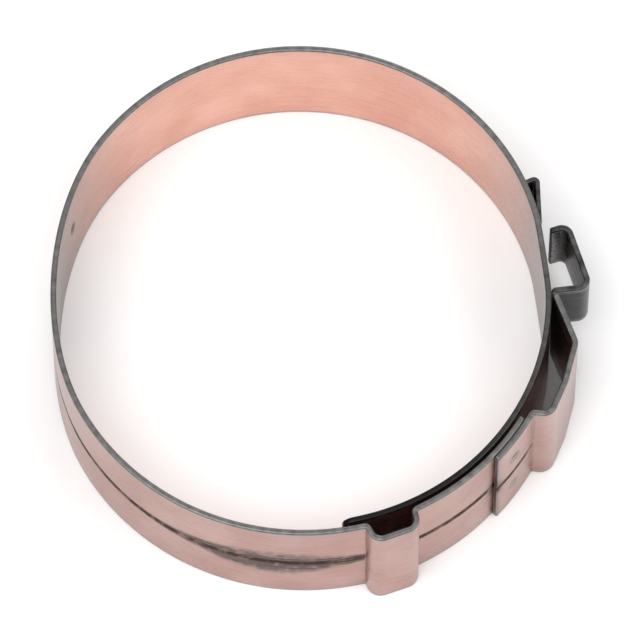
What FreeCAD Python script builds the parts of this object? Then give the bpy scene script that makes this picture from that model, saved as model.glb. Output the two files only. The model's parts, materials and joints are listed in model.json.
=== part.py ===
import FreeCAD, Part
import math
import os

# A spring band clamp for a hose: a strip bent into a ring, closed by a hook that snaps behind a catch.
# All sizes are in millimetres. The origin is on the hose's axis at half the band's width, +Z is the
# hose's axis, and +X points from the axis to the latch.
# Every piece is laid out latched, round a hose of the bore's size. The pieces that flex are then turned
# about their flexing lines to the open clamp, which is how it is stored and fitted over a hose.
# Lengths that place something along the band are measured along the strip from the +X axis, and are
# negative below it.

# Band
bore_diameter = 40.0
band_width = 12.0
band_thickness = 0.5
slip_gap = 0.07          # between the tongue and the outer strip that slides over it
flex_gap = 0.02          # between two lengths of strip that meet at a flexing line
strip_bend = 0.5         # inside radius of the strip's small bends
straight_foot = 1.0      # straight run of strip before a small bend

# Tongue, the end of the strip that runs on under the latch
tongue_root = 1.4
tongue_length = 33.0
tongue_follow = 0.98     # how far the tongue turns for each degree that the band turns

# Wave in the lower band, which stretches a little when the latch snaps
wave_place = -22.4       # its middle
wave_length = 3.6
wave_height = 1.5
wave_lean = 0.25         # each leg's lean along the band

# Hook strap, welded on the end of the lower band
lap_place = -12.4        # the strap's end on the lower band
lap_length = 4.2
hump_place = -7.2        # foot of the strap's hump
hump_length = 6.4
hump_height = 1.9
hump_lean = 0.4
hump_slope = 3.9         # length of the hump's slope down to the hook

# Catch, a folded ramp welded on the upper band
catch_place = 5.4        # lower end of its ramp
catch_length = 4.0
catch_height = 1.6
catch_width = 7.0
catch_thickness = 0.4
catch_bend = 0.1
catch_foot = 2.3         # behind the face that holds the hook

# Hook, the bent end of the strap
hook_width = 6.5
hook_foot = 1.0          # from the strap's flexing line to the hook's leg
hook_bend = 0.5
hook_rise = 3.6          # under the bridge at the leg, above the band
hook_nose_rise = 3.1     # under the bridge at the lip, above the band
leg_clearance = 0.5      # between the hook's leg and the catch when latched
latch_play = 0.05        # between the hook's lip and the catch when latched
lip_clearance = 0.25     # over the catch, before the hook snaps down behind it
open_clearance = 0.85    # along the band between the lip and the catch's ramp when open

# Spot welds
weld_diameter = 1.4
weld_proud = 0.08
lap_weld_spacing = 5.4   # across the band
catch_weld_spacing = 3.6

# Derived sizes. The outer strips lie on a circle that touches the bore's circle opposite the latch.
bore_radius = bore_diameter / 2
band_outer = bore_radius + band_thickness
strap_shift = band_thickness + slip_gap
strap_radius = bore_radius + strap_shift
lap_radius = strap_radius + band_thickness
hose_axis = FreeCAD.Vector(0, 0, 0)
strap_axis = FreeCAD.Vector(strap_shift, 0, 0)
opening_travel = catch_length + latch_play + band_thickness + open_clearance
opening_angle = math.degrees(opening_travel / (2 * band_outer))


def along(length, radius):
    """The angle, in degrees, of a length along a circle."""
    return math.degrees(length / radius)


def radial(angle):
    return FreeCAD.Vector(math.cos(math.radians(angle)), math.sin(math.radians(angle)), 0)


def tangent(angle):
    return radial(angle + 90)


def on_band(length, height):
    """The point at a length along the upper band and a height above its outer face."""
    return hose_axis + radial(along(length, band_outer)) * (band_outer + height)


def on_strap(length, height):
    """The point at a length along the outer strips and a height above their inner face."""
    return strap_axis + radial(along(length, strap_radius)) * (strap_radius + height)


def to_right(run):
    return FreeCAD.Vector(run.y, -run.x, 0).normalize()


def offset_points(points, thickness):
    """The same bends on the strip's other face, to the right of the way along it."""
    runs = [b - a for a, b in zip(points, points[1:])]
    sides = [to_right(run) for run in runs]
    before = [sides[0]] + sides
    after = sides + [sides[-1]]
    return [p + (m + n) * (thickness / (1 + m.dot(n))) for p, m, n in zip(points, before, after)]


def bend_radii(points, bend, thickness, outer_face):
    """A radius for each corner: the bend's own on its inside, with the thickness added on its outside."""
    radii = []
    for a, b, c in zip(points, points[1:], points[2:]):
        turns_left = (b - a).cross(c - b).z > 0
        radii.append(bend + thickness if turns_left == outer_face else bend)
    return radii


def rounded_edges(points, radii):
    """Straight edges through the points, with an arc at each corner that fits in half of its runs."""
    edges = []
    start = points[0]
    for before, corner, after, radius in zip(points, points[1:], points[2:], radii):
        back = before - corner
        ahead = after - corner
        room = min(back.Length, ahead.Length) / 2
        half_angle = back.getAngle(ahead) / 2
        radius = min(radius, room * math.tan(half_angle))
        back.normalize()
        ahead.normalize()
        cut = radius / math.tan(half_angle)
        centre = corner + (back + ahead).normalize() * (radius / math.sin(half_angle))
        middle = centre + (corner - centre).normalize() * radius
        first = corner + back * cut
        last = corner + ahead * cut
        edges.append(Part.makeLine(start, first))
        edges.append(Part.Arc(first, middle, last).toShape())
        start = last
    edges.append(Part.makeLine(start, points[-1]))
    return edges


def arc_edge(centre, radius, start, end):
    ends = [centre + radial(angle) * radius for angle in (start, (start + end) / 2, end)]
    return Part.Arc(*ends).toShape()


def strip(pieces, thickness, bend, width):
    """A strip of sheet, laid anticlockwise. Each piece is an arc (centre, radius, start, end) or a list of
    corners, both on the face nearer the hose."""
    inner = []
    outer = []
    for piece in pieces:
        if isinstance(piece, tuple):
            centre, radius, start, end = piece
            inner.append(arc_edge(centre, radius, start, end))
            outer.append(arc_edge(centre, radius + thickness, start, end))
        else:
            other = offset_points(piece, thickness)
            inner += rounded_edges(piece, bend_radii(piece, bend, thickness, False))
            outer += rounded_edges(other, bend_radii(other, bend, thickness, True))
    start_cap = Part.makeLine(inner[0].firstVertex().Point, outer[0].firstVertex().Point)
    end_cap = Part.makeLine(inner[-1].lastVertex().Point, outer[-1].lastVertex().Point)
    outline = Part.Wire(Part.__sortEdges__(inner + outer + [start_cap, end_cap]))
    face = Part.Face(outline)
    face.translate(FreeCAD.Vector(0, 0, -width / 2))
    return face.extrude(FreeCAD.Vector(0, 0, width))


def weld_spots(centre, radius, thickness, angle, spacing):
    """Two spot welds side by side through a sheet that lies on the circle, each a little proud of it."""
    reach = 2 * weld_diameter
    half_turn = along(reach, radius)
    shell = strip([(centre, radius, angle - half_turn, angle + half_turn)], thickness + weld_proud, 0,
                  band_width)
    spots = []
    for side in (-1, 1):
        foot = centre + radial(angle) * (radius - reach) + FreeCAD.Vector(0, 0, side * spacing / 2)
        rod = Part.makeCylinder(weld_diameter / 2, 2 * reach, foot, radial(angle))
        spots.append(shell.common(rod))
    return Part.makeCompound([solid for spot in spots for solid in spot.Solids])


def turned(shape, pivot, angle):
    """The shape, turned about a flexing line along Z."""
    shape = shape.copy()
    shape.rotate(pivot, FreeCAD.Vector(0, 0, 1), angle)
    return shape


# Flexing lines. Each lies on the face where the two lengths of strip stay in touch as they turn.
back_flex = hose_axis - FreeCAD.Vector(band_outer, 0, 0)
tongue_flex = on_band(tongue_root, 0)

catch_face = catch_place + catch_length
lip_place = catch_face + latch_play
leg_place = catch_place - leg_clearance
hook_root = leg_place - hook_foot
hook_flex_angle = along(hook_root, band_outer)
strap_end = math.sqrt(strap_radius ** 2 - (strap_shift * math.sin(math.radians(hook_flex_angle))) ** 2)
strap_end += strap_shift * math.cos(math.radians(hook_flex_angle))
hook_flex = radial(hook_flex_angle) * strap_end
strap_end_angle = math.degrees(math.atan2(hook_flex.y, hook_flex.x - strap_shift))
strap_end_height = strap_end - band_outer


def make_band_upper():
    back = 180 - along(flex_gap / 2, band_outer)
    root = along(tongue_root + flex_gap / 2, band_outer)
    return strip([(hose_axis, bore_radius, root, back)], band_thickness, strip_bend, band_width)


def make_tongue():
    root = along(tongue_root - flex_gap / 2, band_outer)
    tip = along(tongue_root - tongue_length, band_outer)
    return strip([(hose_axis, bore_radius, tip, root)], band_thickness, strip_bend, band_width)


def make_band_lower():
    back = -180 + along(flex_gap / 2, strap_radius)
    wave_start = along(wave_place - wave_length / 2 - straight_foot, strap_radius)
    wave_end = along(wave_place + wave_length / 2 + straight_foot, strap_radius)
    lap_end = along(lap_place + lap_length, strap_radius)
    first = strap_axis + radial(wave_start) * strap_radius
    last = strap_axis + radial(wave_end) * strap_radius
    wave = [
        first,
        first + tangent(wave_start) * straight_foot,
        on_strap(wave_place - wave_length / 2 + wave_lean, wave_height),
        on_strap(wave_place + wave_length / 2 - wave_lean, wave_height),
        last - tangent(wave_end) * straight_foot,
        last,
    ]
    return strip(
        [(strap_axis, strap_radius, back, wave_start), wave, (strap_axis, strap_radius, wave_end, lap_end)],
        band_thickness, strip_bend, band_width,
    )


def make_hook_strap():
    lap_start = along(lap_place, strap_radius)
    lap_end = along(hump_place - straight_foot, strap_radius)
    first = strap_axis + radial(lap_end) * lap_radius
    last = strap_axis + radial(strap_end_angle - along(flex_gap / 2, strap_radius)) * strap_radius
    hump_end = hump_place + hump_length
    hump = [
        first,
        first + tangent(lap_end) * straight_foot,
        on_strap(hump_place + hump_lean, hump_height),
        on_strap(hump_place + hump_length / 2, hump_height),
        on_strap(hump_end, hump_height),
        on_strap(hump_end + hump_slope, 0),
        last,
    ]
    return strip([(strap_axis, lap_radius, lap_start, lap_end), hump], band_thickness, strip_bend,
                 band_width)


def make_lap_welds():
    middle = along(lap_place + lap_length / 2, strap_radius)
    return weld_spots(strap_axis, lap_radius, band_thickness, middle, lap_weld_spacing)


def make_catch():
    foot_start = along(catch_face + straight_foot, band_outer)
    foot_end = along(catch_face + catch_foot, band_outer)
    first = radial(foot_start) * band_outer
    back_wall = catch_face - catch_thickness
    folds = [
        on_band(catch_place, 0),
        on_band(back_wall, catch_height - catch_thickness),
        first - tangent(foot_start) * (straight_foot + catch_thickness),
        first,
    ]
    return strip([folds, (hose_axis, band_outer, foot_start, foot_end)], catch_thickness, catch_bend,
                 catch_width)


def make_catch_welds():
    middle = along(catch_face + (straight_foot + catch_foot) / 2, band_outer)
    return weld_spots(hose_axis, band_outer, catch_thickness, middle, catch_weld_spacing)


def make_hook():
    bends = [
        on_band(hook_root + flex_gap / 2, strap_end_height),
        on_band(leg_place, strap_end_height),
        on_band(leg_place, hook_rise),
        on_band(lip_place, hook_nose_rise),
        on_band(lip_place, catch_height + lip_clearance),
    ]
    return strip([bends], band_thickness, hook_bend, hook_width)


def build():
    catch_welds = make_catch_welds()
    lap_welds = make_lap_welds()
    upper = {
        "band_upper": make_band_upper(),
        "catch": make_catch().cut(catch_welds),
        "catch_welds": catch_welds,
    }
    tongue = {"tongue": make_tongue()}
    lower = {
        "band_lower": make_band_lower(),
        "hook_strap": make_hook_strap().cut(lap_welds),
        "lap_welds": lap_welds,
        "hook": make_hook(),
    }
    nodes = dict(upper)
    for name, shape in tongue.items():
        nodes[name] = turned(shape, tongue_flex, opening_angle * tongue_follow)
    for name, shape in lower.items():
        nodes[name] = turned(shape, back_flex, -opening_angle)
    return nodes


os.makedirs("parts", exist_ok=True)
for node, shape in build().items():
    if not shape.isValid() or not shape.Solids:
        raise ValueError(node + " is not a sound solid")
    shape.exportStep("parts/" + node + ".step")
    print(node, len(shape.Solids), round(shape.Volume, 3))
open_hook_flex = turned(Part.Vertex(hook_flex), back_flex, -opening_angle).Point
print("opening angle", round(opening_angle, 4))
print("back flexing line", back_flex)
print("tongue flexing line", tongue_flex)
print("hook flexing line, open", open_hook_flex)
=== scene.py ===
"""A spring band hose clamp lying open on a pale floor, with its strip, hook, catch and welds in full detail.

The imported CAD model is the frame. Each strip is swept again here with rolled edges, softer bends and the
groove along its middle, on the same line as its CAD node. The clamp is laid out latched and its flexing
parts are then turned open, as in the CAD model. Lengths are in millimetres until a mesh is made.
"""
import cmath
import json
import math

import bmesh
import bpy
import numpy as np
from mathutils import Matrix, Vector


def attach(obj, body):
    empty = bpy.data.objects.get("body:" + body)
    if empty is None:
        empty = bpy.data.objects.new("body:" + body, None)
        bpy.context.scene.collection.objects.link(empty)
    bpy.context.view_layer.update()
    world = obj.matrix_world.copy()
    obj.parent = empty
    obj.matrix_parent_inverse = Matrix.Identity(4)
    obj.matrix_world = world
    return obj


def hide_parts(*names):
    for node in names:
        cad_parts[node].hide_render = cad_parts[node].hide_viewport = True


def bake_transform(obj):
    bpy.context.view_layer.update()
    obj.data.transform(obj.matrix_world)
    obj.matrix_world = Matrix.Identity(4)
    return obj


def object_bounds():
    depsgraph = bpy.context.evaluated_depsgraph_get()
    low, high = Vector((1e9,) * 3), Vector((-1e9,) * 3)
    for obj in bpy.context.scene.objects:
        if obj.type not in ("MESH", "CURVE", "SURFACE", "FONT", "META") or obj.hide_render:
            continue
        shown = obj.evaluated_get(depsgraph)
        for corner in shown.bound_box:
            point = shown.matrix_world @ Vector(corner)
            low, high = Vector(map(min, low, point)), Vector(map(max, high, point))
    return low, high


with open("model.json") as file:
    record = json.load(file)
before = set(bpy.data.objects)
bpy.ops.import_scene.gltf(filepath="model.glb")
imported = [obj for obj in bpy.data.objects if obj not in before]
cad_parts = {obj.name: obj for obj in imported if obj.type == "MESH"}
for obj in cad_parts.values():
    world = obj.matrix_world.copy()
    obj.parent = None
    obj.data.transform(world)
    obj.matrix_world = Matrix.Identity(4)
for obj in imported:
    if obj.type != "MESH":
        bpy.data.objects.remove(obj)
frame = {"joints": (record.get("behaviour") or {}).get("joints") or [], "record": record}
cad_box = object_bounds()

MM = 0.001
STEP = 0.22               # between stations along a strip
BEND_STEP = 9             # degrees between stations round a small bend
CORNER_STEPS = 4          # round each rolled edge
ROLL = 0.14               # radius of a rolled or deburred edge
CATCH_ROLL = 0.1
LEAST_ROLL = 0.01         # left on an edge where its section is at its smallest
END_ROLL = 0.9            # how far a strip's end shrinks, as a share of ROLL
GROOVE_END = 0.4          # length over which the groove runs out
SAME_POINT = 1e-4         # stations nearer than this are one
INNER_UV = 40             # shift of the inner face's grain, so that the two faces differ
FACE_SLOTS = {"inner": 0, "outer": 1, "rim": 2}

# Scuffed metal, dark marks, painted shade and painted glints, as lengths along the strips and across them
WEAR_REACH = 0.5          # how far from an edge its plating is rubbed
# scuffed bright on the latch, and brightened there as painted glints
FOOT_WEAR_GLINT = 0.5           # on each side of the bend at the hook's foot
LIP_WEAR_GLINT = 0.8            # from the hook's lip
CREST_WEAR_GLINT = 1.6          # from the catch's crest
GROOVE_DARK = 0.22        # half the width of the dark colour in the groove
DARK_FADE = 0.35          # how far the dark colour fades beside it
DARK_PATCH_PLACE = 8           # middle of the dark patch round the groove, before the wave
DARK_PATCH_LENGTH = 6
DARK_PATCH_SHIFT = 0.25        # of its middle, downwards
DARK_PATCH_REACH = 0.55        # added to the dark colour's half width
DARK_PATCH_FADE = 1.9          # added to its fade
# painted shade in inside corners
CORNER_SHADE = 0.3
LAP_SHADOW = (0.8, 1.1)     # painted shadow in the lap's step: its length from the lap's edge, its height from the groove
EDGE_SHADE_START = 6            # length of tongue with the blackest painted shadow on its edge

# Rows across the faces, in shares of the half width, in groove widths and in half heights of the dimple
FACE_SHARES = np.array([-1, -0.985, -0.95, -0.8, -0.55, -0.3, 0, 0.3, 0.55, 0.8, 0.95, 0.985, 1])
GROOVE_ROWS = np.array([0.05, 0.11, 0.18, 0.27, 0.36, 0.46, 0.56, 0.7, 0.9, 1.1, 1.3, 1.55, 1.85, 2.2, 2.6])
DIMPLE_ROWS = np.linspace(-1.1, 1.1, 11)
WELD_RINGS = 10
WELD_SPOKES = 28

# Camera and floor
CAMERA_ELEVATION = 66     # degrees above the ring's plane
CAMERA_DISTANCE = 17      # in widths of the clamp
CAMERA_MARGIN = 1.16      # width of the view, in widths of the clamp
FLOOR_REACH = 3.0         # metres from the clamp to the floor's edge

# Sizes that the frame states
joints = {joint["name"]: joint for joint in frame["joints"]}
mounts = {mount["name"]: mount for mount in frame["record"]["mounts"]}


def plan_point(joint):
    x, y, _ = joints[joint]["pos_m"]
    return complex(x, y) / MM


bore_radius = mounts["hose_bore"]["dims"]["r_mm"]
band_width = mounts["hose_bore"]["dims"]["length_mm"]
back_flex = plan_point("band_close")
tongue_flex = plan_point("tongue_follow")
opening_angle = max(joints["band_close"]["range_deg"])
tongue_angle = opening_angle * -frame["record"]["behaviour"]["couplings"][0]["ratio"]
band_outer = -back_flex.real
band_thickness = band_outer - bore_radius

# Sizes of the strips' bends, as the CAD model has them
slip_gap = 0.07
straight_foot = 1.0
tongue_root = 1.4
tongue_length = 33.0
wave_place = -22.4
wave_length = 3.6
wave_height = 1.5
wave_lean = 0.25
lap_place = -12.4
lap_length = 4.2
hump_place = -7.2
hump_length = 6.4
hump_height = 1.9
hump_lean = 0.4
hump_slope = 3.9
catch_place = 5.4
catch_length = 4.0
catch_height = 1.6
catch_width = 7.0
catch_thickness = 0.4
catch_bend = 0.1
catch_foot = 2.3
hook_width = 6.5
hook_foot = 1.0
hook_bend = 0.5
hook_rise = 3.6
hook_nose_rise = 3.1
leg_clearance = 0.5
latch_play = 0.05
lip_clearance = 0.25
weld_diameter = 1.4
weld_proud = 0.08
lap_weld_spacing = 5.4    # across the band
catch_weld_spacing = 3.6

# Sizes of the detail that is only shown here
groove_width = 0.9        # of the rolled groove along the middle of the outer face
groove_depth = 0.12
soft_bend = 0.7           # inside radius of the strip's bends, on the face nearer the hose
back_spread = 13.0        # length of band that bends in view, on each side of the back's flexing line
root_spread = 3.8         # the same, at the tongue's root
shoulder = 1.1            # length of the strap's rounded shoulders beside the hook
weld_root = 0.15          # how far a weld's dome reaches into the strip
tongue_corner = 1.0       # radius of the corners of the tongue's end
dimple_angle = 162.0      # of a small punched mark on the inner face, seen from the hose's centre
dimple_height = 0.6       # its middle, above the band's middle line
dimple_size = (0.8, 1.3)  # half its length round the band, half its height
dimple_depth = 0.16

strap_shift = band_thickness + slip_gap
strap_radius = bore_radius + strap_shift
lap_radius = strap_radius + band_thickness
catch_face = catch_place + catch_length
lip_place = catch_face + latch_play
leg_place = catch_place - leg_clearance
hook_root = leg_place - hook_foot


# Lines in the plan, as complex numbers
def unit(angle):
    return cmath.rect(1, math.radians(angle))


def along(length, radius):
    return math.degrees(length / radius)


def on_band(length, height):
    return unit(along(length, band_outer)) * (band_outer + height)


def on_strap(length, height):
    return strap_shift + unit(along(length, strap_radius)) * (strap_radius + height)


def turned(point, pivot, angle):
    return pivot + (point - pivot) * unit(angle)


def smoothstep(share):
    share = min(max(share, 0), 1)
    return share * share * (3 - 2 * share)


def arc(centre, radius, start, end):
    """Stations (point, outward direction) along an arc laid anticlockwise."""
    count = max(2, math.ceil(math.radians(end - start) * radius / STEP))
    return [(centre + radius * unit(a), unit(a)) for a in np.linspace(start, end, count + 1)]


def straight(start, end):
    count = max(1, math.ceil(abs(end - start) / STEP))
    right = -1j * (end - start) / abs(end - start)
    return [(start + (end - start) * share, right) for share in np.linspace(0, 1, count + 1)]


def bends(corners, bend, thickness):
    """Stations along straight runs with a rounded bend at each corner, on the face nearer the hose."""
    stations = []
    start = corners[0]
    for before, corner, after in zip(corners, corners[1:], corners[2:]):
        back = (before - corner) / abs(before - corner)
        ahead = (after - corner) / abs(after - corner)
        turn = cmath.phase(-ahead / back)
        half_angle = (math.pi - abs(turn)) / 2
        room = min(abs(before - corner), abs(after - corner)) / 2
        radius = min(bend if turn > 0 else bend + thickness, room * math.tan(half_angle))
        first = corner + back * radius / math.tan(half_angle)
        middle = (back + ahead) / abs(back + ahead)
        centre = corner + middle * radius / math.sin(half_angle)
        stations += straight(start, first)
        steps = max(3, math.ceil(abs(turn) / math.radians(BEND_STEP)))
        for step in range(steps + 1):
            spoke = (first - centre) * cmath.exp(1j * turn * step / steps)
            stations.append((centre + spoke, spoke / radius * math.copysign(1, turn)))
        start = corner + ahead * radius / math.tan(half_angle)
    return stations + straight(start, corners[-1])


def turn_line(stations, pivot, angle):
    """The whole line, turned about the pivot."""
    return [(turned(p, pivot, angle), n * unit(angle)) for p, n in stations]


def flex_line(stations, pivot, angle):
    """Turns a line's far end about the pivot, its near end not at all, and the stretch between smoothly."""
    last = len(stations) - 1
    line = []
    for index, (point, outward) in enumerate(stations):
        share = angle * smoothstep(index / last)
        line.append((turned(point, pivot, share), outward * unit(share)))
    return line


# Meshes
class Line:
    """A line of stations that can be read at any length along it."""

    def __init__(self, stations):
        kept = [stations[0]]
        for station in stations[1:]:
            if abs(station[0] - kept[-1][0]) > SAME_POINT:
                kept.append(station)
        self.points = np.array([point for point, _ in kept])
        self.outward = np.array([outward for _, outward in kept])
        self.lengths = np.concatenate([[0], np.cumsum(np.abs(np.diff(self.points)))])
        self.length = self.lengths[-1]

    def at(self, places):
        def read(values):
            real = np.interp(places, self.lengths, values.real)
            return real + 1j * np.interp(places, self.lengths, values.imag)
        outward = read(self.outward)
        return read(self.points), outward / np.abs(outward)


def end_insets(length, round_start, round_end):
    """Places near a strip's ends with how far its section shrinks there, which rounds the end over."""
    places = []
    for step in range(CORNER_STEPS + 1):
        angle = math.pi / 2 * step / CORNER_STEPS
        place = ROLL * (1 - math.cos(angle))
        inset = ROLL * (1 - math.sin(angle)) * END_ROLL
        if round_start:
            places.append((place, inset))
        if round_end:
            places.append((length - place, inset))
    return places


def inner_heights(edge, dented):
    """Heights across the inner face, close together over the dimple."""
    heights = FACE_SHARES * edge
    if dented:
        heights = np.concatenate([heights, dimple_height + DIMPLE_ROWS * dimple_size[1]])
    return np.sort(heights)


def outer_heights(edge):
    """Heights across the outer face, close together over the groove."""
    groove = np.concatenate([-GROOVE_ROWS, [0], GROOVE_ROWS]) * groove_width
    sides = FACE_SHARES[np.abs(FACE_SHARES) > 0.5] * edge
    return np.sort(np.concatenate([sides, groove]))[::-1]


def section(half, thickness, roll, inset, groove, dented):
    """Points (depth, height, kind) round a strip's section. Kind is inner, rim or outer."""
    roll = min(roll, thickness / 2 - LEAST_ROLL)
    roll = max(roll - inset, LEAST_ROLL)
    low, high = inset, thickness - inset
    edge = half - inset - roll
    ends = [math.pi / 2 * step / CORNER_STEPS for step in range(1, CORNER_STEPS + 1)]
    starts = [0, *ends[:-1]]
    points = [(low, height, "inner") for height in inner_heights(edge, dented)]
    points += [(low + roll - roll * math.cos(a), edge + roll * math.sin(a), "rim") for a in ends]
    points += [(high - roll + roll * math.sin(a), edge + roll * math.cos(a), "rim") for a in starts]
    for height in outer_heights(edge):
        dip = math.cos(math.pi * height / groove_width) ** 2 if abs(height) < groove_width / 2 else 0
        points.append((high - groove * dip, height, "outer"))
    points += [(high - roll + roll * math.cos(a), -edge - roll * math.sin(a), "rim") for a in ends]
    points += [(low + roll - roll * math.sin(a), -edge - roll * math.cos(a), "rim") for a in starts]
    return points


def sweep(name, stations, thickness, half_width, materials, rounded=(True, True), groove=None, soil_and_shade=None,
          rub_and_glint=None, roll=ROLL, start_length=0.0, dent=None):
    """A strip of sheet along the stations, with materials for its inner face, outer face and edges. rounded
    says which of its ends are rounded over, and roll is the radius of its edges. half_width and groove give
    their value at a length along it, the soiling function how dark a point is painted, for dark marks and
    painted shade, the scuffing function how bright it is scuffed, for scuffs and painted glints, and dent how
    far a point of the inner face is pressed in. start_length is where on the whole strip this stretch starts,
    so that its grain runs on from its neighbour's."""
    line = Line(stations)
    first_clear = ROLL if rounded[0] else 0
    last_clear = line.length - (ROLL if rounded[1] else 0)
    places = end_insets(line.length, *rounded)
    places += [(s, 0) for s in line.lengths if first_clear <= s <= last_clear]
    places = sorted({round(s, 5): inset for s, inset in places[::-1]}.items())
    points, outward = line.at(np.array([s for s, _ in places]))
    vertices, wear_and_glint, dirt_and_shade, uvs = [], [], [], []
    for (s, inset), point, out in zip(places, points, outward):
        half = half_width(s, line.length)
        dip = groove(s, line.length) * groove_depth if groove else 0
        ring = section(half, thickness, roll, inset, dip, dent is not None)
        end = min(s if rounded[0] else half, line.length - s if rounded[1] else half)
        for depth, height, kind in ring:
            if dent and kind == "inner":
                depth += dent(s, height)
            place = point + out * depth
            vertices.append((place.real * MM, place.imag * MM, height * MM))
            rubbed_and_glint = rub_and_glint(s, line.length, kind) if rub_and_glint else 0
            wear_and_glint.append(max(rubbed_and_glint, 1 - min(half - abs(height), end) / WEAR_REACH))
            dirt_and_shade.append(soil_and_shade(s, line.length, height, kind) if soil_and_shade else 0)
            uvs.append((start_length + s, height + (INNER_UV if kind == "inner" else 0)))
    kinds = [FACE_SLOTS[kind] for _, _, kind in ring]
    count = len(kinds)
    faces, slots = [], []
    for a in range(0, (len(places) - 1) * count, count):
        for index in range(count):
            after = (index + 1) % count
            faces.append((a + index, a + after, a + count + after, a + count + index))
            slots.append(max(kinds[index], kinds[after]))
    for start in (0, (len(places) - 1) * count):
        faces.append(tuple(range(start, start + count)))
        slots.append(FACE_SLOTS["rim"])
    mesh = bpy.data.meshes.new(name)
    mesh.from_pydata(vertices, [], faces)
    for material in materials:
        mesh.materials.append(material)
    mesh.polygons.foreach_set("material_index", slots)
    mesh.polygons.foreach_set("use_smooth", [True] * (len(faces) - 2) + [False, False])
    uv_layer = mesh.uv_layers.new(name="strip")
    for loop in mesh.loops:
        uv_layer.data[loop.index].uv = uvs[loop.vertex_index]
    for title, values in (("wear_and_glint", wear_and_glint), ("soil_and_shade", dirt_and_shade)):
        mesh.attributes.new(title, "FLOAT", "POINT").data.foreach_set("value", values)
    outward_faces(mesh)
    piece = bpy.data.objects.new(name, mesh)
    bpy.context.scene.collection.objects.link(piece)
    return piece


def outward_faces(mesh):
    """Turns every face outwards and keeps the flat ends sharp."""
    work = bmesh.new()
    work.from_mesh(mesh)
    bmesh.ops.recalc_face_normals(work, faces=work.faces)
    for face in work.faces:
        if not face.smooth:
            for edge in face.edges:
                edge.smooth = False
    work.to_mesh(mesh)
    work.free()


def weld_buttons(name, centre, outward, spacing, material):
    """Two low domes side by side on a strip's outer face, each with a shallow dent in its crown."""
    work = bmesh.new()
    across = Vector((outward.real, outward.imag, 0))
    level = across.cross(Vector((0, 0, 1)))
    radius = weld_diameter / 2
    for side in (-1, 1):
        origin = Vector((centre.real, centre.imag, side * spacing / 2))
        profile = [(radius, -weld_root), (radius, 0.0)]
        for ring in range(1, WELD_RINGS):
            share = 1 - ring / WELD_RINGS
            crown = weld_proud * math.cos(math.pi / 2 * share) ** 0.6
            dent = 0.6 * weld_proud * math.exp(-(share / 0.45) ** 2)
            profile.append((radius * share, crown - dent))
        loops = []
        for reach, height in profile:
            loop = []
            for spoke in range(WELD_SPOKES):
                turn = 2 * math.pi * spoke / WELD_SPOKES
                offset = level * math.cos(turn) + Vector((0, 0, 1)) * math.sin(turn)
                loop.append(work.verts.new((origin + offset * reach + across * height) * MM))
            loops.append(loop)
        for lower, upper in zip(loops, loops[1:]):
            for spoke in range(WELD_SPOKES):
                after = (spoke + 1) % WELD_SPOKES
                work.faces.new((lower[spoke], lower[after], upper[after], upper[spoke])).smooth = True
        work.faces.new(loops[0])
        work.faces.new(loops[-1]).smooth = True
    mesh = bpy.data.meshes.new(name)
    bmesh.ops.recalc_face_normals(work, faces=work.faces)
    work.to_mesh(mesh)
    work.free()
    mesh.materials.append(material)
    piece = bpy.data.objects.new(name, mesh)
    bpy.context.scene.collection.objects.link(piece)
    return piece


# Materials. The strips' own UVs are millimetres along them and across them, and other scales are per metre.
PER_MM = 1.0
STREAKS = (0.12, 7.0, 1)  # marks along the strip and across it, in each millimetre
FINE_GRAIN = (0.5, 26.0, 1)
SLIT_MARKS = (1.6, 2.0, 1)
BLOTCHES = 170.0
SPECKS = 2600.0
FLECKS = 1300.0
PITS = 1500.0
HEAT_MARKS = 1100.0

PINK = (0.78, 0.46, 0.37)
DEEP_PINK = (0.70, 0.37, 0.285)
ROSE = (0.50, 0.325, 0.29)
DEEP_ROSE = (0.43, 0.25, 0.215)
# grey of a painted reflection on the band's sides
SIDE_REFLECTION_GREY = (0.19, 0.18, 0.178)
BARE_STEEL = (0.27, 0.25, 0.245)
# near black for the latch, a painted dark reflection
DARK_REFLECTION = (0.05, 0.053, 0.055)
DEEPER_DARK_REFLECTION = (0.025, 0.027, 0.03)
# dark brown for dark marks, and for painted shade in corners and painted shadow at the lap
DIRT_AND_SHADE = (0.045, 0.027, 0.022)
# black for the painted shadow on the tongue's edge
SHADE_BLACK = (0.012, 0.012, 0.012)
SCORCHED = (0.16, 0.12, 0.11)
BROWNED = (0.34, 0.26, 0.22)
BARE_WELD = (0.44, 0.4, 0.38)


def new_material(name):
    material = bpy.data.materials.new(name)
    material.use_nodes = True
    nodes = material.node_tree.nodes
    return material, nodes, material.node_tree.links, nodes["Principled BSDF"]


def add(nodes, kind, **values):
    node = nodes.new(kind)
    for key, value in values.items():
        setattr(node, key, value)
    return node


def ramp(nodes, links, source, stops):
    """A colour ramp over a source socket. Stops are (place, (r, g, b))."""
    node = nodes.new("ShaderNodeValToRGB")
    elements = node.color_ramp.elements
    while len(elements) < len(stops):
        elements.new(0.5)
    for element, (place, colour) in zip(elements, stops):
        element.position = place
        element.color = (*colour, 1)
    links.new(source, node.inputs["Fac"])
    return node.outputs["Color"]


def grey(value):
    return (value, value, value)


def mix(nodes, links, share, first, second):
    node = add(nodes, "ShaderNodeMix", data_type="RGBA")
    links.new(share, node.inputs["Factor"])
    for socket, value in ((node.inputs[6], first), (node.inputs[7], second)):
        if isinstance(value, tuple):
            socket.default_value = (*value, 1)
        else:
            links.new(value, socket)
    return node.outputs[2]


def times(nodes, links, first, second):
    node = add(nodes, "ShaderNodeMath", operation="MULTIPLY")
    for socket, value in zip(node.inputs, (first, second)):
        if isinstance(value, (int, float)):
            socket.default_value = value
        else:
            links.new(value, socket)
    return node.outputs[0]


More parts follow.
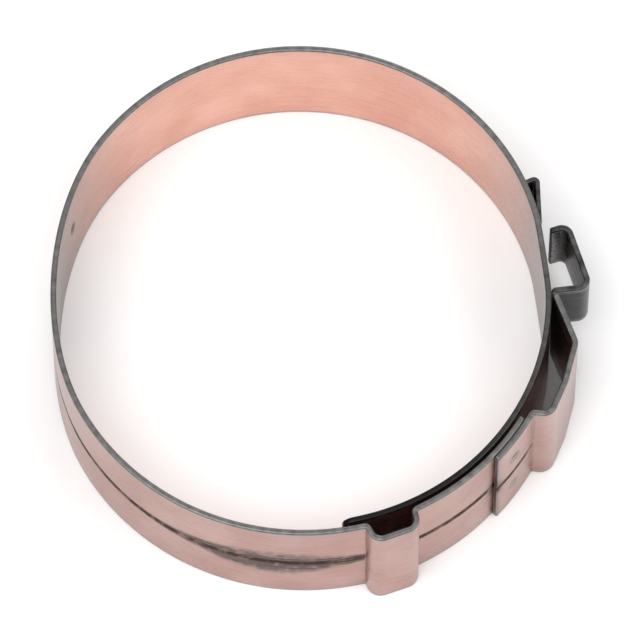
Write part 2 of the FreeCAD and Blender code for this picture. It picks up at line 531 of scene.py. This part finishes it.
def noise(nodes, links, vector, scale, detail, stretch=(1, 1, 1)):
    mapping = nodes.new("ShaderNodeMapping")
    mapping.inputs["Scale"].default_value = stretch
    links.new(vector, mapping.inputs["Vector"])
    node = nodes.new("ShaderNodeTexNoise")
    node.inputs["Scale"].default_value = scale
    node.inputs["Detail"].default_value = detail
    links.new(mapping.outputs["Vector"], node.inputs["Vector"])
    return node.outputs["Fac"]


def attribute(nodes, name):
    return add(nodes, "ShaderNodeAttribute", attribute_name=name).outputs["Fac"]


def bump(nodes, links, shader, height, strength, distance):
    node = nodes.new("ShaderNodeBump")
    node.inputs["Strength"].default_value = strength
    node.inputs["Distance"].default_value = distance
    links.new(height, node.inputs["Height"])
    links.new(node.outputs["Normal"], shader.inputs["Normal"])


def rolled_steel(name, light, deep, bare, dirt_and_shade, smoothest, roughest, side_reflection=0.0):
    """Rolled strip: grain along its length, soft blotches in its tint, bare metal where edges are scuffed
    and, on the latch, where glints are painted, and dark marks and painted shade where the soiling attribute
    asks. The last setting greys the stretches beside the latch and opposite it with a painted reflection."""
    material, nodes, links, shader = new_material(name)
    coordinates = nodes.new("ShaderNodeTexCoord")
    strip_uv = coordinates.outputs["UV"]
    body = coordinates.outputs["Object"]
    streaks = noise(nodes, links, strip_uv, PER_MM, 4.0, STREAKS)
    fine = noise(nodes, links, strip_uv, PER_MM, 2.0, FINE_GRAIN)
    blotches = noise(nodes, links, body, BLOTCHES, 4.0)
    specks = noise(nodes, links, body, SPECKS, 2.0)
    tint = mix(nodes, links, ramp(nodes, links, blotches, [(0.36, grey(0)), (0.64, grey(1))]), light, deep)
    # Painted reflection: greys the band's sides beside the latch and opposite it.
    if side_reflection:
        across = nodes.new("ShaderNodeSeparateXYZ")
        links.new(body, across.inputs["Vector"])
        reach = add(nodes, "ShaderNodeMath", operation="ABSOLUTE")
        links.new(across.outputs["Y"], reach.inputs[0])
        share = ramp(nodes, links, times(nodes, links, reach.outputs[0], 1 / (bore_radius * MM)),
                     [(0.12, grey(side_reflection)), (0.75, grey(0))])
        tint = mix(nodes, links, share, tint, SIDE_REFLECTION_GREY)
    shade = ramp(nodes, links, streaks, [(0.3, grey(0.86)), (0.62, grey(1.0))])
    toned = add(nodes, "ShaderNodeMix", data_type="RGBA", blend_type="MULTIPLY")
    toned.inputs["Factor"].default_value = 1
    links.new(tint, toned.inputs[6])
    links.new(shade, toned.inputs[7])
    # Bare metal at scuffed edges, and at painted glints on the latch.
    rub_and_glint = ramp(nodes, links, specks, [(0.35, grey(0.35)), (0.65, grey(1))])
    rubbed_and_glint = times(nodes, links, attribute(nodes, "wear_and_glint"), rub_and_glint)
    worn_and_glinting = mix(nodes, links, rubbed_and_glint, toned.outputs[2], bare)
    # Dark colour from the soiling attribute: dark marks, painted shade and painted shadow.
    thin = ramp(nodes, links, streaks, [(0.3, grey(0.6)), (0.62, grey(1))])
    streaky = times(nodes, links, attribute(nodes, "soil_and_shade"), thin)
    flecks = noise(nodes, links, body, FLECKS, 4.0)
    patchy = times(nodes, links, streaky, ramp(nodes, links, flecks, [(0.35, grey(0.55)), (0.6, grey(1))]))
    darkened = mix(nodes, links, ramp(nodes, links, patchy, [(0.1, grey(0)), (0.65, grey(0.97))]), worn_and_glinting, dirt_and_shade)
    links.new(darkened, shader.inputs["Base Color"])
    shader.inputs["Metallic"].default_value = 1
    rough = ramp(nodes, links, streaks, [(0.3, grey(smoothest)), (0.7, grey(roughest))])
    links.new(rough, shader.inputs["Roughness"])
    bump(nodes, links, shader, fine, 0.35, 0.00003)
    return material


def cut_steel(name, pale, dark, dirt_and_shade):
    """The strip's slit edge: grey, with faint marks across it, a few dark pits, and painted shadow where the
    soiling attribute asks.
    """
    material, nodes, links, shader = new_material(name)
    coordinates = nodes.new("ShaderNodeTexCoord")
    marks = noise(nodes, links, coordinates.outputs["UV"], PER_MM, 3.0, SLIT_MARKS)
    pits = noise(nodes, links, coordinates.outputs["Object"], PITS, 2.0)
    tone = ramp(nodes, links, marks, [(0.3, dark), (0.62, pale)])
    spotted = mix(nodes, links, ramp(nodes, links, pits, [(0.3, grey(0.6)), (0.42, grey(0))]), tone, dark)
    darkened = mix(nodes, links, attribute(nodes, "soil_and_shade"), spotted, dirt_and_shade)
    links.new(darkened, shader.inputs["Base Color"])
    shader.inputs["Metallic"].default_value = 1
    rough = ramp(nodes, links, marks, [(0.3, grey(0.32)), (0.7, grey(0.48))])
    links.new(rough, shader.inputs["Roughness"])
    bump(nodes, links, shader, marks, 0.25, 0.00004)
    return material


def weld_steel():
    """Spot welds: bare steel with brown heat marks."""
    material, nodes, links, shader = new_material("spot_weld_steel")
    coordinates = nodes.new("ShaderNodeTexCoord")
    blotches = noise(nodes, links, coordinates.outputs["Object"], HEAT_MARKS, 4.0)
    tone = ramp(nodes, links, blotches, [(0.3, SCORCHED), (0.5, BROWNED), (0.7, BARE_WELD)])
    links.new(tone, shader.inputs["Base Color"])
    shader.inputs["Metallic"].default_value = 1
    rough = ramp(nodes, links, blotches, [(0.3, grey(0.3)), (0.7, grey(0.55))])
    links.new(rough, shader.inputs["Roughness"])
    bump(nodes, links, shader, blotches, 0.3, 0.00005)
    return material


# The last numbers grey the faces' sides with a painted reflection.
inner_face = rolled_steel("copper_strip_inside", PINK, DEEP_PINK, BARE_STEEL, DIRT_AND_SHADE, 0.22, 0.38, 0.9)
outer_face = rolled_steel("copper_strip_outside", ROSE, DEEP_ROSE, BARE_STEEL, DIRT_AND_SHADE, 0.22, 0.38, 0.5)
# Near black as a painted dark reflection; its bare grey also shows the painted glints.
latch_face = rolled_steel("spring_steel_painted_dark_reflection", DARK_REFLECTION, DEEPER_DARK_REFLECTION, grey(0.34), SHADE_BLACK, 0.2, 0.4)
# The edge goes black where painted shadow lies on it.
cut_edge = cut_steel("slit_edge", (0.20, 0.195, 0.19), (0.12, 0.115, 0.11), SHADE_BLACK)
# The latch's slit edge is also a painted dark reflection.
latch_edge = cut_steel("slit_edge_painted_dark_reflection", grey(0.11), grey(0.04), SHADE_BLACK)
weld_face = weld_steel()
BAND = (inner_face, outer_face, cut_edge)
LATCH = (latch_face, latch_face, latch_edge)


# Pieces
def full_width(s, length):
    return band_width / 2


def tongue_half_width(s, length):
    """The tongue's end has small rounded corners."""
    inset = max(0, tongue_corner - s)
    return band_width / 2 - tongue_corner + math.sqrt(max(0, tongue_corner ** 2 - inset ** 2))


def dark_line(height, reach=GROOVE_DARK, fade=DARK_FADE):
    """Dark colour that is solid within reach of the middle line and fades beside it."""
    return 0.95 * (1 - smoothstep((abs(height) - reach) / fade))


def corner_shade(offset):
    """Painted shade across the strip in an inside corner, offset along the strip from the corner."""
    return 0.45 * math.exp(-(offset / CORNER_SHADE) ** 2)


def lap_shadow(offset, height):
    """Painted shadow in the step at the lap, most of it beside the groove."""
    return math.exp(-(offset / LAP_SHADOW[0]) ** 2) * (0.3 + 0.7 * math.exp(-(height / LAP_SHADOW[1]) ** 2))


def finish_piece(piece, body, slot, *nodes):
    """A piece that rides on one body and stands for its CAD nodes."""
    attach(piece, body)
    if nodes:
        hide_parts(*nodes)


def finish_flexing(piece, near, far, start, end, slot, *nodes):
    """A piece shaped across a joint, from one point in the plan to another, with its place baked into its
    mesh.
    """
    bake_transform(piece)
    if nodes:
        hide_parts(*nodes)


def make_band():
    """The strip from the tongue's end to just past its back. Returns its length, for the grain beyond it."""
    back_turn = along(back_spread, band_outer)
    root_top = along(tongue_root + root_spread, band_outer)
    root_bottom = along(tongue_root - root_spread, band_outer)
    tongue_tip = along(tongue_root - tongue_length, band_outer)
    length = 0.0

    def tongue_edge_shade(s, length, height, kind):
        """Painted shadow: the tongue's edge is black at its tip and less so towards its root."""
        return 0.95 - 0.5 * smoothstep((s - EDGE_SHADE_START) / (length - EDGE_SHADE_START)) if kind == "rim" else 0

    line = turn_line(arc(0, bore_radius, tongue_tip, root_bottom), tongue_flex, tongue_angle)
    piece = sweep("tongue_strip", line, band_thickness, tongue_half_width, BAND, (True, False), soil_and_shade=tongue_edge_shade)
    finish_piece(piece, "tongue", "band_steel", "tongue")
    length += math.radians(root_bottom - tongue_tip) * bore_radius

    def root_edge_shade(s, length, height, kind):
        """The same painted shadow fades out over the tongue's root."""
        return 0.45 * smoothstep(1 - s / length) if kind == "rim" else 0

    line = arc(0, bore_radius, root_bottom, root_top)[::-1]
    line = flex_line(line, tongue_flex, tongue_angle)[::-1]
    piece = sweep("tongue_root_strip", line, band_thickness, full_width, BAND, (False, False), soil_and_shade=root_edge_shade,
                  start_length=length)
    finish_flexing(piece, "upper", "tongue", line[-1][0], line[0][0], "band_steel")
    length += math.radians(root_top - root_bottom) * bore_radius

    line = arc(0, bore_radius, root_top, 180 - back_turn)
    dimple_place = math.radians(dimple_angle - 180 + back_turn) * bore_radius
    piece = sweep("band_upper_strip", line, band_thickness, full_width, BAND, (False, False),
                  start_length=length)
    finish_piece(piece, "upper", "band_steel", "band_upper")
    length += math.radians(180 - back_turn - root_top) * bore_radius

    def dimple(s, height):
        reach = ((s - dimple_place) / dimple_size[0]) ** 2 + ((height - dimple_height) / dimple_size[1]) ** 2
        return dimple_depth * (1 - reach) ** 2 if reach < 1 else 0

    def back_groove(s, length):
        """The groove starts a little past the back."""
        return smoothstep((s - 0.55 * length) / (0.3 * length))

    # Dark colour in the dimple and along the groove.
    def back_dark_marks(s, length, height, kind):
        if kind == "inner":
            return min(1, 1.6 * dimple(s, height) / dimple_depth)
        return dark_line(height) * back_groove(s, length) if kind == "outer" else 0

    line = arc(0, bore_radius, 180 - back_turn, 180)
    line += arc(strap_shift, strap_radius, -180, -180 + back_turn)[1:]
    line = flex_line(line, back_flex, -opening_angle)
    piece = sweep("band_back_strip", line, band_thickness, full_width, BAND, (False, False), back_groove,
                  back_dark_marks, start_length=length, dent=dimple)
    finish_flexing(piece, "upper", "lower", line[0][0], line[-1][0], "band_steel")
    return length + math.radians(back_turn) * (bore_radius + strap_radius)


def make_lower_band(start_length):
    """The rest of the strip, with the wave and the end under the lap."""
    start = -180 + along(back_spread, band_outer)
    wave_start = along(wave_place - wave_length / 2 - straight_foot, strap_radius)
    wave_end = along(wave_place + wave_length / 2 + straight_foot, strap_radius)
    lap_end = along(lap_place + lap_length, strap_radius)
    first = strap_shift + unit(wave_start) * strap_radius
    last = strap_shift + unit(wave_end) * strap_radius
    corners = [
        first,
        first + 1j * unit(wave_start) * straight_foot,
        on_strap(wave_place - wave_length / 2 + wave_lean, wave_height),
        on_strap(wave_place + wave_length / 2 - wave_lean, wave_height),
        last - 1j * unit(wave_end) * straight_foot,
        last,
    ]
    line = arc(strap_shift, strap_radius, start, wave_start)
    line += bends(corners, soft_bend, band_thickness)
    line += arc(strap_shift, strap_radius, wave_end, lap_end)
    line = turn_line(line, back_flex, -opening_angle)
    wave_foot = math.radians(wave_start - start) * strap_radius + straight_foot
    wave_far_foot = Line(line).length - math.radians(lap_end - wave_end) * strap_radius - straight_foot

    def groove(s, length):
        """The groove runs out at each side of the wave."""
        return smoothstep(max(wave_foot - s, s - wave_far_foot) / GROOVE_END)

    def darkening(s, length, height, kind):
        """Dark colour fills the groove and spreads from it before the wave; painted shade sits in the corners
        and painted shadow in the step by the lap.
        """
        if kind != "outer":
            return 0
        spread = math.exp(-((s - wave_foot + DARK_PATCH_PLACE) / DARK_PATCH_LENGTH) ** 2)
        reach = GROOVE_DARK + DARK_PATCH_REACH * spread
        streak = dark_line(height + DARK_PATCH_SHIFT * spread, reach, DARK_FADE + DARK_PATCH_FADE * spread)
        in_corner_shade = corner_shade(s - wave_foot) + corner_shade(s - wave_far_foot)
        lap_step_shadow = lap_shadow(length - lap_length - s, height)
        return max(streak * max(groove(s, length), spread), in_corner_shade, lap_step_shadow)

    piece = sweep("band_lower_strip", line, band_thickness, full_width, BAND, (False, True), groove, darkening,
                  start_length=start_length)
    finish_piece(piece, "lower", "band_steel", "band_lower")


def strap_end():
    """The strap's end, where the hook starts: its point in the plan and its height off the band."""
    angle = along(hook_root, band_outer)
    reach = math.sqrt(strap_radius ** 2 - (strap_shift * math.sin(math.radians(angle))) ** 2)
    reach += strap_shift * math.cos(math.radians(angle))
    return unit(angle) * reach, reach - band_outer


def make_strap_and_hook():
    """The strap with its hump, the hook bent from its end, and the welds at the lap."""
    end_point, end_height = strap_end()
    lap_start = along(lap_place, strap_radius)
    lap_end = along(hump_place - straight_foot, strap_radius)
    first = strap_shift + unit(lap_end) * lap_radius
    hump_end = hump_place + hump_length
    corners = [
        first,
        first + 1j * unit(lap_end) * straight_foot,
        on_strap(hump_place + hump_lean, hump_height),
        on_strap(hump_place + hump_length / 2, hump_height),
        on_strap(hump_end, hump_height),
        on_strap(hump_end + hump_slope, 0),
        end_point,
    ]
    line = arc(strap_shift, lap_radius, lap_start, lap_end)
    line += bends(corners, soft_bend, band_thickness)
    line = turn_line(line, back_flex, -opening_angle)
    groove_end = math.radians(lap_end - lap_start) * lap_radius + straight_foot

    def groove(s, length):
        return smoothstep((groove_end - s) / GROOVE_END)

    # Dark colour in the groove, painted shade in the corner and painted shadow at the lap.
    def darkening(s, length, height, kind):
        if kind != "outer":
            return 0
        return max(dark_line(height) * groove(s, length), corner_shade(s - groove_end), lap_shadow(s, height))

    def shouldered(s, length):
        """The strap's end narrows to the hook's width with rounded shoulders."""
        share = min(max(0, 1 - (length - s) / shoulder), 1)
        return hook_width / 2 + (band_width - hook_width) / 2 * math.sqrt(1 - share ** 2)

    piece = sweep("hook_strap_strip", line, band_thickness, shouldered, BAND, (True, False), groove, darkening)
    finish_piece(piece, "lower", "band_steel", "hook_strap")

    corners = [
        end_point,
        on_band(leg_place, end_height),
        on_band(leg_place, hook_rise),
        on_band(lip_place, hook_nose_rise),
        on_band(lip_place, catch_height + lip_clearance),
    ]
    line = turn_line(bends(corners, hook_bend, band_thickness), back_flex, -opening_angle)

    def hook_half_width(s, length):
        return hook_width / 2

    def hook_wear_and_glint(s, length, kind):
        """The hook is scuffed bright at its foot, where it bends, and at its lip, which slides; both are
        brightened as painted glints.
        """
        foot = 1 - smoothstep(abs(s - hook_foot) / FOOT_WEAR_GLINT)
        lip = smoothstep(1 - (length - s) / LIP_WEAR_GLINT)
        return 0.9 * max(foot, lip)

    piece = sweep("snap_hook", line, band_thickness, hook_half_width, LATCH, (False, True), rub_and_glint=hook_wear_and_glint)
    foot_end = turned(on_band(leg_place, end_height), back_flex, -opening_angle)
    finish_flexing(piece, "lower", "hook", line[0][0], foot_end, "latch_steel", "hook")

    middle = along(lap_place + lap_length / 2, strap_radius)
    centre = strap_shift + unit(middle) * (lap_radius + band_thickness)
    centre = turned(centre, back_flex, -opening_angle)
    outward = unit(middle - opening_angle)
    piece = weld_buttons("lap_weld_spots", centre, outward, lap_weld_spacing, weld_face)
    finish_piece(piece, "lower", "weld_steel", "lap_welds")


def make_catch():
    """The folded ramp and its welds."""
    foot_start = along(catch_face + straight_foot, band_outer)
    foot_end = along(catch_face + catch_foot, band_outer)
    first = unit(foot_start) * band_outer
    folds = [
        on_band(catch_place, 0),
        on_band(catch_face - catch_thickness, catch_height - catch_thickness),
        first - 1j * unit(foot_start) * (straight_foot + catch_thickness),
        first,
    ]
    line = bends(folds, catch_bend, catch_thickness) + arc(0, band_outer, foot_start, foot_end)

    def catch_half_width(s, length):
        return catch_width / 2

    def catch_wear_and_glint(s, length, kind):
        """The ramp is scuffed bright towards its crest, where the hook's lip slides over it, and brightened
        there as a painted glint.
        """
        crest = catch_length - catch_thickness
        return 0.8 * smoothstep(1 - abs(s - crest) / CREST_WEAR_GLINT) if kind == "outer" else 0

    piece = sweep("folded_catch", line, catch_thickness, catch_half_width, LATCH, rub_and_glint=catch_wear_and_glint,
                  roll=CATCH_ROLL)
    finish_piece(piece, "upper", "latch_steel", "catch")
    middle = along(catch_face + (straight_foot + catch_foot) / 2, band_outer)
    centre = unit(middle) * (band_outer + catch_thickness)
    piece = weld_buttons("catch_weld_spots", centre, unit(middle), catch_weld_spacing, weld_face)
    finish_piece(piece, "upper", "weld_steel", "catch_welds")


# Floor, light and camera
def make_floor(level):
    mesh = bpy.data.meshes.new("floor")
    corners = [(x * FLOOR_REACH, y * FLOOR_REACH, level) for x, y in ((-1, -1), (1, -1), (1, 1), (-1, 1))]
    mesh.from_pydata(corners, [], [(0, 1, 2, 3)])
    material, _, _, shader = new_material("pale_floor")
    shader.inputs["Base Color"].default_value = (0.9, 0.9, 0.9, 1)
    shader.inputs["Roughness"].default_value = 0.9
    shader.inputs["Specular IOR Level"].default_value = 0.1
    mesh.materials.append(material)
    floor = bpy.data.objects.new("floor", mesh)
    bpy.context.scene.collection.objects.link(floor)


def add_light(name, place, size, power):
    """A round soft light, aimed at the hose's axis. Its place and size are in metres, its power in watts."""
    data = bpy.data.lights.new(name, "AREA")
    data.shape = "DISK"
    data.size = size
    data.energy = power
    light = bpy.data.objects.new(name, data)
    light.location = place
    light.rotation_euler = (-Vector(place)).to_track_quat("-Z", "Y").to_euler()
    bpy.context.scene.collection.objects.link(light)


def make_lights():
    add_light("key", (-0.3, -0.4, 0.9), 1.0, 8.0)
    add_light("fill", (0.6, -0.2, 0.75), 0.7, 3.2)
    add_light("rim", (0.1, 0.75, 0.55), 0.4, 1.4)
    world = bpy.data.worlds.new("studio")
    world.use_nodes = True
    nodes, links = world.node_tree.nodes, world.node_tree.links
    upward = nodes.new("ShaderNodeSeparateXYZ")
    links.new(nodes.new("ShaderNodeTexCoord").outputs["Generated"], upward.inputs["Vector"])
    sky = ramp(nodes, links, upward.outputs["Z"], [(0.0, grey(0.34)), (0.35, grey(0.42)), (1.0, grey(0.8))])
    links.new(sky, nodes["Background"].inputs["Color"])
    bpy.context.scene.world = world
    bpy.context.scene.view_settings.view_transform = "Standard"


def make_camera(box):
    """A long lens high above the ring's front, with the latch to the right."""
    elevation = math.radians(CAMERA_ELEVATION)
    low, high = (Vector(corner) for corner in box)
    target = (low + high) / 2
    span = high - low
    seen_height = span.y * math.sin(elevation) + span.z * math.cos(elevation)
    view_size = max(span.x, seen_height) * CAMERA_MARGIN
    distance = CAMERA_DISTANCE * span.x
    data = bpy.data.cameras.new("camera")
    data.sensor_width = 36
    data.lens = data.sensor_width * distance / view_size
    data.clip_start = 0.01
    data.clip_end = 20
    camera = bpy.data.objects.new("camera", data)
    camera.location = target + Vector((0, -math.cos(elevation), math.sin(elevation))) * distance
    camera.rotation_euler = (target - camera.location).to_track_quat("-Z", "Y").to_euler()
    bpy.context.scene.collection.objects.link(camera)
    bpy.context.scene.camera = camera


strip_length = make_band()
make_lower_band(strip_length)
make_strap_and_hook()
make_catch()
make_floor(cad_box[0][2])
make_lights()
make_camera(cad_box)
